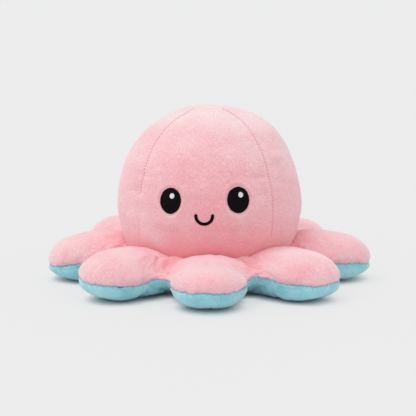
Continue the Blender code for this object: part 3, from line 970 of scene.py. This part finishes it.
def skirt_painted_light_and_tone(grid, from_head, from_seam):
    """Painted light and shade on the skirt, with the pile's random brushed tone on the blue side: painted
    shade beside the head, in the valleys between the tentacles and at the seam, and painted light on the
    tentacles' tops.
    """
    radius = from_axis(grid)
    turn = azimuth(grid) / TENTACLE_TURN
    across = radius * TENTACLE_TURN * (0.5 - np.abs(turn - np.round(turn)))
    # Painted shade in the valleys between the tentacles, beside the head, along the crease where the skirt
    # meets the head, and along the seam
    valley = bell(across, VALLEY_WIDTH) * smoothstep(-radius, -NOTCH_RADIUS, -NOTCH_RADIUS + VALLEY_FADE)
    neck = np.exp(-np.clip(from_head, 0, None) / NECK_REACH)
    pressed = np.maximum(VALLEY_SHADE * valley, NECK_SHADE * neck)
    pressed = np.maximum(pressed, SEAM_SHADE * bell(from_seam, SEAM_LINE))
    pressed = pressed + CONTACT_SHADE * bell(from_head, CONTACT_LINE)
    # Painted light: the tentacles' pink tops are paler outwards from the head, varied at random, and in the
    # listed patches
    raised = smoothstep(radius, 60 * MM, 74 * MM) * smoothstep(-from_seam, 0.3 * MM, 1.2 * MM)
    raised = raised * (0.28 + 0.3 * noise(grid, 11 * MM, 33))
    for patch_radius, patch_deg, size, strength in PAINTED_LIGHT_PATCHES:
        centre = patch_radius * MM * direction(np.radians(patch_deg))
        away = np.linalg.norm((grid - centre)[..., :2], axis=-1)
        raised = raised + strength * bell(away, size * MM) * (from_seam < 0)
    brushed = (0.12 + 0.5 * noise(grid, 8 * MM, 34)) * smoothstep(from_seam, 0.5 * MM, 3 * MM)
    return (raised + brushed) * np.clip(1 - pressed, 0, 1) - pressed


def build_skirt(pink, blue, thread):
    """The pink top and blue underside of each tentacle's sector."""
    seam_row = LIP_ROWS + TOP_ROWS
    grid = skirt_grid()
    grid = filled(grid, seam_row)
    grid = finer(grid)
    lip_row, seam_row = 2 * LIP_ROWS, 2 * seam_row
    grid = skirt_detail(grid, seam_row)
    grid[..., 2] = np.maximum(grid[..., 2], LEAST_Z)
    normals = grid_normals(grid)
    shading = normals.copy()
    shading[: lip_row + 2] = normals[lip_row + 2]
    depth = depth_down(grid)
    lay = skirt_painted_light_and_tone(grid, depth - depth[lip_row], depth - depth[seam_row])
    height, width = grid.shape[:2]
    columns = width // len(TENTACLES)
    for index, name in enumerate(TENTACLES):
        body = f"tentacle_{name}"
        turn = index * TENTACLE_TURN
        across = np.array([-math.sin(turn), math.cos(turn), 0])
        at = np.arange(index * columns, (index + 1) * columns + 1) % width
        for side, rows, material, slot in (
            ("pink", np.arange(0, seam_row + 1), pink, "pink_plush"),
            ("blue", np.arange(seam_row, height), blue, "blue_plush"),
        ):
            cut = np.ix_(rows, at)
            points = grid[cut].reshape(-1, 3)
            uv = np.stack([points @ across, depth[cut].ravel()], -1)
            if side == "pink":
                uv = uv[:, ::-1]
            piece = add_cloth(
                f"{body}_{side}",
                points,
                [grid_faces(len(rows), len(at))],
                grid_border(len(rows), len(at)),
                CLOTH,
                material,
                uv,
                normals[cut].reshape(-1, 3),
                shading[cut].reshape(-1, 3),
                lay[cut].ravel(),
            )
            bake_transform(piece)
            if side == "pink":
                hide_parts(f"{body}_top", f"{body}_filling", "skirt_top", "skirt_filling")
            else:
                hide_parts(f"{body}_underside", "skirt_underside")
        piece = add_seam_stitches(index, grid[:, at], normals[:, at], seam_row, thread)
        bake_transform(piece)


def add_seam_stitches(index, part, normals, seam_row, thread):
    """The dark thread that shows here and there between the pink and the blue cloth of a tentacle."""
    dice = np.random.default_rng(SEED + 100 + index)
    edge = part[seam_row]
    at = np.arange(2, len(edge) - 2 - STITCH_COLUMNS, STITCH_COLUMNS)
    at = at + dice.integers(0, STITCH_COLUMNS, len(at))
    down = unit(part[seam_row + 2, at] - part[seam_row - 2, at])
    beside = unit(edge[at + 1] - edge[at - 1])
    along = unit(down + beside * dice.uniform(-0.9, 0.9, (len(at), 1)))
    out = square_to(along, normals[seam_row, at])
    name = f"tentacle_{TENTACLES[index]}_stitches"
    return add_threads(name, edge[at] + out * STITCH_LIFT, along, out, STITCH_LENGTH, STITCH_RADIUS, thread)


# Head


def head_line():
    """The head's side from the crown to its floor, as (radius, height) points."""
    floor_turn = math.acos((HEAD_FLOOR_Z - HEAD_MIDDLE_Z) / HEAD_HALF_HEIGHT)
    height = HEAD_MIDDLE_Z + HEAD_HALF_HEIGHT * np.cos(np.linspace(0, floor_turn, 800))
    return np.stack([head_radius(height), height], -1)


def head_detail(turn, height):
    """How far the head's cloth stands out from its plain form, at a turn from the face and a height."""
    radius = np.maximum(head_radius(height), MM)
    place = direction(turn) * radius[..., None] + np.stack([0 * turn, 0 * turn, height], -1)
    seam_turn = (turn / GORE_TURN + 0.5) % 1 - 0.5
    gap = radius * GORE_TURN * (0.5 - np.abs(seam_turn))
    groove = -SEAM_GROOVE * (bell(gap, SEAM_GROOVE_WIDTH) + np.exp(-gap / SEAM_VALLEY_REACH))
    side = np.where(seam_turn > 0, 0.0, 1.0)
    tuck = layered(on_line(height + side), HEAD_TUCKS)
    tuck = tuck * np.exp(-gap / TUCK_REACH) * (1 - bell(gap, TUCK_START))
    total = layered(place, HEAD_LUMPS) + groove + tuck + swells(place) + eye_dents(turn, height)
    return total * smoothstep(height, *DETAIL_STARTS_Z)


def swells(place):
    """How far the stuffing's lumps and hollows move the head's cloth, at points whose face is at +X."""
    total = 0
    for turn_deg, height, wide, tall, stand in SWELLS:
        turn, level = math.radians(turn_deg), height * MM
        centre = direction(turn) * head_radius(level) + (0, 0, level)
        below = direction(turn) * head_radius(level - MM) + (0, 0, level - MM)
        offset = (place - centre) / MM
        across = offset @ direction(turn + math.pi / 2)
        up = offset @ unit(centre - below)
        near = (offset**2).sum(-1) < (3 * max(wide, tall)) ** 2
        total = total + stand * MM * bell(np.hypot(across / wide, up / tall), 1) * near
    return total


def eye_shares(turn, height):
    """For each eye, how far out and how far up from its middle a place is, as shares of the eye."""
    for turn_deg, level in EYES.values():
        across = (turn - math.radians(turn_deg)) * head_radius(height) / EYE_HALF_WIDTH
        up = (height - level) / EYE_HALF_HEIGHT
        yield np.hypot(across, up), up


def eye_dents(turn, height):
    """The pile sinks at each eye's edge and stands up round it."""
    return sum(
        EYE_RING * bell(out - 1.24, 0.1) - EYE_DENT * bell(out - 1.0, 0.09)
        for out, _ in eye_shares(turn, height)
    )


def eye_rim_highlights(turn, height):
    """How much paler painted highlight lies on the pile that stands up under each eye's edge."""
    return sum(
        EYE_RIM_HIGHLIGHT * bell(out - 1.13, 0.08) * smoothstep(-up, -0.2, 0.8)
        for out, up in eye_shares(turn, height)
    )


def on_head(turn, height, lift=0.0):
    """The point on the head's cloth at a turn from the face and a height, lifted off it."""
    above, below = height + SLOPE_STEP, height - SLOPE_STEP
    steep = np.arctan2(head_radius(below) - head_radius(above), 2 * SLOPE_STEP)
    stand = head_detail(turn, height) + lift
    level = direction(turn + FACE_AZIMUTH) * (head_radius(height) + stand * np.cos(steep))[..., None]
    level[..., 2] = height + stand * np.sin(steep)
    return level


def stitched_rows(row_sizes):
    """Triangles between rows of points whose counts differ. Each row runs the same way."""
    faces = []
    start = 0
    for above, below in zip(row_sizes, row_sizes[1:]):
        first, second = 0, 0
        while first < above - 1 or second < below - 1:
            a, b = start + first, start + above + second
            ahead_first = (first + 1) / max(above - 1, 1) if first < above - 1 else 2
            ahead_second = (second + 1) / max(below - 1, 1) if second < below - 1 else 2
            if ahead_first < ahead_second:
                faces.append((a, b, a + 1))
                first += 1
            else:
                faces.append((a, b, b + 1))
                second += 1
        start += above
    return np.array(faces)


def rows_border(row_sizes):
    """The points round the edge of such rows, in the order that their faces turn."""
    ends = np.cumsum(row_sizes)
    left, right = ends - row_sizes, ends - 1
    return np.concatenate([left, np.arange(left[-1] + 1, right[-1]), right[:0:-1]])


def gore_rows(line, step):
    """A gore as rows of points: its faces and border, then each point's share across, radius and height."""
    sizes = [1 + round(radius * GORE_TURN / step) for radius, _ in line]
    share = np.concatenate([np.linspace(-0.5, 0.5, size) if size > 1 else [0.0] for size in sizes])
    return stitched_rows(sizes), rows_border(sizes), share, *np.repeat(line, sizes, axis=0).T


def build_head(pink):
    """Four gores of pink plush."""
    faces, border, share, radius, height = gore_rows(spaced(head_line(), HEAD_STEP), HEAD_STEP)
    for index, name in enumerate(GORES):
        turn = (index + share * 0.99999) * GORE_TURN
        points = on_head(turn, height)
        uv = nap_from_mouth(turn - index * GORE_TURN, height, radius)
        lay = head_painted_light_and_tone(points, turn, height)
        piece = add_cloth(f"head_{name}_gore", points, [faces], border, CLOTH, pink, uv, lay=lay)
        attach(piece, "head")
        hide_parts(f"head_{name}", "head_filling")


def head_painted_light_and_tone(points, turn, height):
    """Painted light and shade on the head, with random tone: painted light towards the crown, in patches
    and under the eyes, and painted shade towards the skirt.
    """
    # Painted light, paler towards the crown
    lay = 0.3 * smoothstep(height, 52 * MM, 88 * MM) + 0.7 * smoothstep(height, 90 * MM, 112 * MM)
    lay = lay + 0.3 * noise(points, 13 * MM, 44) * smoothstep(height, 60 * MM, 95 * MM)
    # Painted shade, deeper towards the skirt
    lay = lay - 0.75 * (1 - smoothstep(height, 18 * MM, 50 * MM))
    for turn_deg, level, size, strength in HEAD_PAINTED_LIGHT_PATCHES:
        centre = on_head(np.radians(turn_deg), level * MM)
        lay = lay + strength * bell(np.linalg.norm(points - centre, axis=1), size * MM)
    return lay + eye_rim_highlights(turn, height)


def build_head_stitches(thread):
    """The stitches that show as small dashes along each seam of the head."""
    height = spaced(head_line(), HEAD_STITCH_STEP)[:, 1]
    for index, name in enumerate(GORES):
        start = LEFT_STITCH_START_Z if name == "left" else HEAD_STITCH_START_Z
        z = height[(height > start) & (height < HEAD_STITCH_END_Z)]
        turn = np.full(len(z), (index + 0.5) * GORE_TURN)
        middles = on_head(turn, z)
        along = unit(on_head(turn, z - 0.3 * MM) - on_head(turn, z + 0.3 * MM))
        out = square_to(along, on_head(turn, z, MM) - middles)
        middles = middles + out * HEAD_STITCH_LIFT
        sizes = (HEAD_STITCH_LENGTH, HEAD_STITCH_RADIUS)
        piece = add_threads(f"head_{name}_seam_stitches", middles, along, out, *sizes, thread)
        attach(piece, "head")


def nap_from_mouth(turn, height, radius):
    """Where the pile lies: its streaks fan up and out from below the mouth."""
    across, up = turn * radius, height - 20 * MM
    fan = np.arctan2(across, up + 40 * MM)
    return np.stack([fan * 80 * MM, np.hypot(across, up + 40 * MM)], -1)


def build_pocket(blue):
    """Four gores of blue plush, the second head turned up into the first."""
    turn = np.linspace(0, math.pi / 2, 200)
    half_height = POCKET_TOP_Z - HEAD_FLOOR_Z
    line = np.stack([POCKET_RADIUS * np.sin(turn), HEAD_FLOOR_Z + half_height * np.cos(turn)], -1)
    faces, border, share, radius, height = gore_rows(spaced(line, POCKET_STEP), POCKET_STEP)
    gap = radius * GORE_TURN * (0.5 - np.abs(share))
    radius = radius + POCKET_SEAM_RISE * np.exp(-gap / POCKET_SEAM_REACH)
    for index, name in enumerate(GORES):
        points = direction((index + share) * GORE_TURN + FACE_AZIMUTH) * radius[:, None]
        points[:, 2] = height
        uv = np.stack([points[:, 0] + points[:, 1], points[:, 2]], -1)
        piece = add_cloth(f"pocket_{name}_gore", points, [faces[:, ::-1]], border[::-1], CLOTH, blue, uv)
        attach(piece, "head")
        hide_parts(f"pocket_{name}")


def build_collar(blue):
    """The ring of blue plush from the skirt's mouth to the pocket's rim."""
    turn = np.linspace(0, math.pi / 2, COLLAR_ROWS)
    foot_z = MOUTH_TOP_Z + COLLAR_SEAT
    across = MOUTH_RADIUS + COLLAR_SEAT - POCKET_RADIUS
    out = np.stack([np.cos(turn), np.sin(turn)], -1)
    path = (POCKET_RADIUS, foot_z) + out * (across, HEAD_FLOOR_Z - foot_z)
    path = np.concatenate([path, (path + out * CLOTH)[::-1]])
    azimuth = np.linspace(0, 2 * math.pi, COLLAR_COLUMNS, endpoint=False)
    points = direction(azimuth)[None] * path[:, 0, None, None]
    points[..., 2] = path[:, 1, None]
    index = np.arange(points[..., 0].size).reshape(points.shape[:2])
    beside, below = np.roll(index, -1, 1), np.roll(index, -1, 0)
    quads = np.stack([index, beside, np.roll(below, -1, 1), below], -1).reshape(-1, 4)
    points = points.reshape(-1, 3)
    uv = np.stack([points[:, 0] + points[:, 1], points[:, 2]], -1)
    piece = add_mesh("pocket_collar", points, [quads], blue, uv, np.zeros(len(points)))
    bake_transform(piece)


# Face


def on_face(across, up, middle_deg, middle_z, lift):
    """A point drawn across and up from a middle on the face."""
    height = middle_z + up
    turn = math.radians(middle_deg) + across / head_radius(height)
    return on_head(turn, height, lift)


def add_oval(name, half_width, half_height, middle_deg, middle_z, base, material, rings=14, around=72):
    """A satin oval: a raised edge band round a slightly lower fill."""
    turn = np.arange(around) * 2 * math.pi / around
    jag = 1 + layered(on_line(turn), OVAL_JAGS)
    rows = [on_face(np.zeros(1), np.zeros(1), middle_deg, middle_z, np.full(1, base + FILL_HEIGHT))]
    for ring in range(1, rings + 1):
        share = (ring / rings) ** 0.8
        size = share * np.where(share > 0.9, jag, 1.0)
        rise = FILL_HEIGHT + SATIN_SINK + BAND_HEIGHT * bell(share - BAND_AT, BAND_WIDTH)
        rise *= math.sqrt(max(1 - max((share - OVAL_EDGE) / (1 - OVAL_EDGE), 0) ** 2, 0))
        lift = np.full(around, base + rise - SATIN_SINK)
        across, up = half_width * size * np.cos(turn), half_height * size * np.sin(turn)
        rows.append(on_face(across, up, middle_deg, middle_z, lift))
    points = np.concatenate(rows)
    index = 1 + np.arange(rings * around).reshape(rings, around)
    fan = np.stack([np.zeros(around, int), index[0], np.roll(index[0], -1)], -1)
    inner, outer = index[:-1], index[1:]
    quads = np.stack([inner, outer, np.roll(outer, -1, 1), np.roll(inner, -1, 1)], -1).reshape(-1, 4)
    piece = add_cloth(name, points, [fan, quads], index[-1], EYE_SATIN, material, points[:, [0, 2]])
    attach(piece, "head")
    return piece


def build_eyes(black, white):
    """Two embroidered eyes with highlights."""
    for name, (middle, eye_z) in EYES.items():
        eye = add_oval(f"eye_{name}_satin", EYE_HALF_WIDTH, EYE_HALF_HEIGHT, middle, eye_z, 0.0, black)
        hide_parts(f"eye_{name}")
        height = eye_z + HIGHLIGHT_UP
        middle += math.degrees(HIGHLIGHT_RIGHT / head_radius(height))
        sizes = (HIGHLIGHT_HALF_WIDTH, HIGHLIGHT_HALF_HEIGHT)
        place = (middle, height, HIGHLIGHT_LIFT)
        light = add_oval(f"eye_highlight_{name}_satin", *sizes, *place, white, rings=8, around=32)
        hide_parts(f"eye_highlight_{name}")


def build_smile(black):
    """A small arc of satin stitch, round on top and at its ends."""
    steps, width = 60, 12
    half = SMILE_LINE / 2
    over = half / SMILE_RADIUS
    turn = np.linspace(math.pi - over, 2 * math.pi + over, steps + 1)
    past = np.clip(np.maximum(math.pi - turn, turn - 2 * math.pi) / over, 0, 0.98)
    narrow = np.sqrt(1 - past**2)
    rows = []
    for across in np.linspace(-1, 1, width + 1):
        radius = SMILE_RADIUS + across * half * narrow
        lift = np.full(steps + 1, SMILE_HEIGHT * math.sqrt(1 - across**2) - SMILE_SINK)
        rows.append(on_face(radius * np.cos(turn), radius * np.sin(turn), 0, SMILE_Z, lift))
    points = np.concatenate(rows)
    across = np.repeat(np.linspace(0, SMILE_LINE, width + 1), steps + 1)
    uv = np.stack([across, np.tile(turn * SMILE_RADIUS, width + 1)], -1)
    faces, border = grid_faces(width + 1, steps + 1), grid_border(width + 1, steps + 1)
    piece = add_cloth("mouth_satin", points, [faces], border, SMILE_SATIN, black, uv)
    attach(piece, "head")
    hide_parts("mouth")


# Stage


def build_floor():
    """A pale floor that reaches past the view and keeps the toy's shadow, softened by a glow of its own."""
    far = FLOOR_HALF_WIDTH
    mesh = bpy.data.meshes.new("floor")
    mesh.from_pydata([(-far, -far, 0), (far, -far, 0), (far, far, 0), (-far, far, 0)], [], [(0, 1, 2, 3)])
    inputs = {"Base Color": (0.80, 0.805, 0.81, 1), "Roughness": 0.6, "Specular IOR Level": 0.1}
    material, tree, shader = new_material("floor", inputs)
    rays = add_node(tree, "ShaderNodeLightPath").outputs
    seen = maths(tree, "ADD", rays["Is Camera Ray"], rays["Is Glossy Ray"])
    seen = maths(tree, "ADD", seen, rays["Is Transmission Ray"])
    open_sky = add_node(tree, "ShaderNodeAmbientOcclusion", {"Distance": FLOOR_CONTACT}).outputs["AO"]
    share = maths(tree, "MULTIPLY", seen, ranged(tree, open_sky, 0.10, 1.0, 0.0, FLOOR_GLOW))
    inputs = {"Color": (0.84, 0.84, 0.845, 1), "Strength": 1.0}
    glow = add_node(tree, "ShaderNodeEmission", inputs).outputs[0]
    mixed = add_node(tree, "ShaderNodeMixShader", {0: share, 1: shader.outputs[0], 2: glow}).outputs[0]
    tree.links.new(mixed, tree.nodes["Material Output"].inputs["Surface"])
    mesh.materials.append(material)
    floor = bpy.data.objects.new("floor", mesh)
    bpy.context.scene.collection.objects.link(floor)


def build_lights():
    """An even sky, seen as pale as the floor, and a wide soft light from above."""
    world = bpy.data.worlds.new("sky")
    bpy.context.scene.world = world
    world.use_nodes = True
    tree = world.node_tree
    sky = tree.nodes["Background"]
    sky.inputs[0].default_value = (1.0, 1.0, 1.0, 1)
    seen = add_node(tree, "ShaderNodeLightPath").outputs["Is Camera Ray"]
    tree.links.new(ranged(tree, seen, 0.0, 1.0, SKY_LIGHT, SKY_SEEN), sky.inputs[1])
    lamp = bpy.data.lights.new("softbox", "SUN")
    lamp.energy = SUN_LIGHT
    lamp.angle = math.radians(SUN_WIDTH_DEG)
    lamp.color = (1.0, 0.99, 0.98)
    light = bpy.data.objects.new("softbox", lamp)
    bpy.context.scene.collection.objects.link(light)
    light.rotation_euler = [math.radians(turn) for turn in SUN_TURN_DEG]


def build_camera():
    """The photograph's view."""
    data = bpy.data.cameras.new("camera")
    data.sensor_width = SENSOR
    data.lens = LENS_PIXELS * SENSOR / FRAME_PIXELS
    data.clip_start = 10 * MM
    data.clip_end = 100.0
    camera = bpy.data.objects.new("camera", data)
    bpy.context.scene.collection.objects.link(camera)
    up = math.radians(CAMERA_UP_DEG)
    camera.location = (0, -CAMERA_AWAY * math.cos(up), CAMERA_TARGET_Z + CAMERA_AWAY * math.sin(up))
    camera.rotation_mode = "QUATERNION"
    camera.rotation_quaternion = (AIM - camera.location).to_track_quat("-Z", "Y")
    bpy.context.scene.camera = camera


def build():
    """The whole scene."""
    build_camera()
    build_floor()
    build_lights()
    pink = plush_material(
        "pink_plush_pile",
        middle=(0.955, 0.425, 0.48),
        deep=(0.945, 0.34, 0.395),
        pale=(0.985, 0.56, 0.60),
        # The next three colours: painted shade, also used in the streaks' pits, a darker painted shadow for
        # creases, and painted light
        pressed=(0.97, 0.19, 0.25),
        crease_shadow=(0.70, 0.07, 0.11),
        raised=(0.975, 0.66, 0.68),
        shade=(0.955, 0.76, 0.79),
        light=(1.015, 1.19, 1.16),
        sheen_tint=(1.0, 0.95, 0.96),
    )
    blue = plush_material(
        "blue_plush_pile",
        middle=(0.18, 0.67, 0.77),
        deep=(0.12, 0.60, 0.70),
        pale=(0.40, 0.83, 0.91),
        # The next three colours: painted shade, also used in the streaks' pits, a darker painted shadow for
        # creases, and painted light
        pressed=(0.03, 0.30, 0.40),
        crease_shadow=(0.02, 0.20, 0.28),
        raised=(0.40, 0.72, 0.78),
        shade=(0.88, 0.95, 0.95),
        light=(1.12, 1.05, 1.05),
        sheen_tint=(0.85, 0.97, 1.0),
    )
    black = thread_material("black_satin", (0.002, 0.0012, 0.0015), (0.007, 0.005, 0.006))
    white = thread_material("white_satin", (0.78, 0.76, 0.8), (0.95, 0.95, 0.97))
    pink_thread = thread_material("pink_thread", (0.86, 0.27, 0.34), (0.94, 0.44, 0.50))
    dark_thread = thread_material("dark_thread", (0.16, 0.22, 0.32), (0.30, 0.38, 0.48))
    build_skirt(pink, blue, dark_thread)
    build_head(pink)
    build_head_stitches(pink_thread)
    build_pocket(blue)
    build_collar(blue)
    build_eyes(black, white)
    build_smile(black)
    bpy.context.scene.view_settings.view_transform = "Standard"


build()
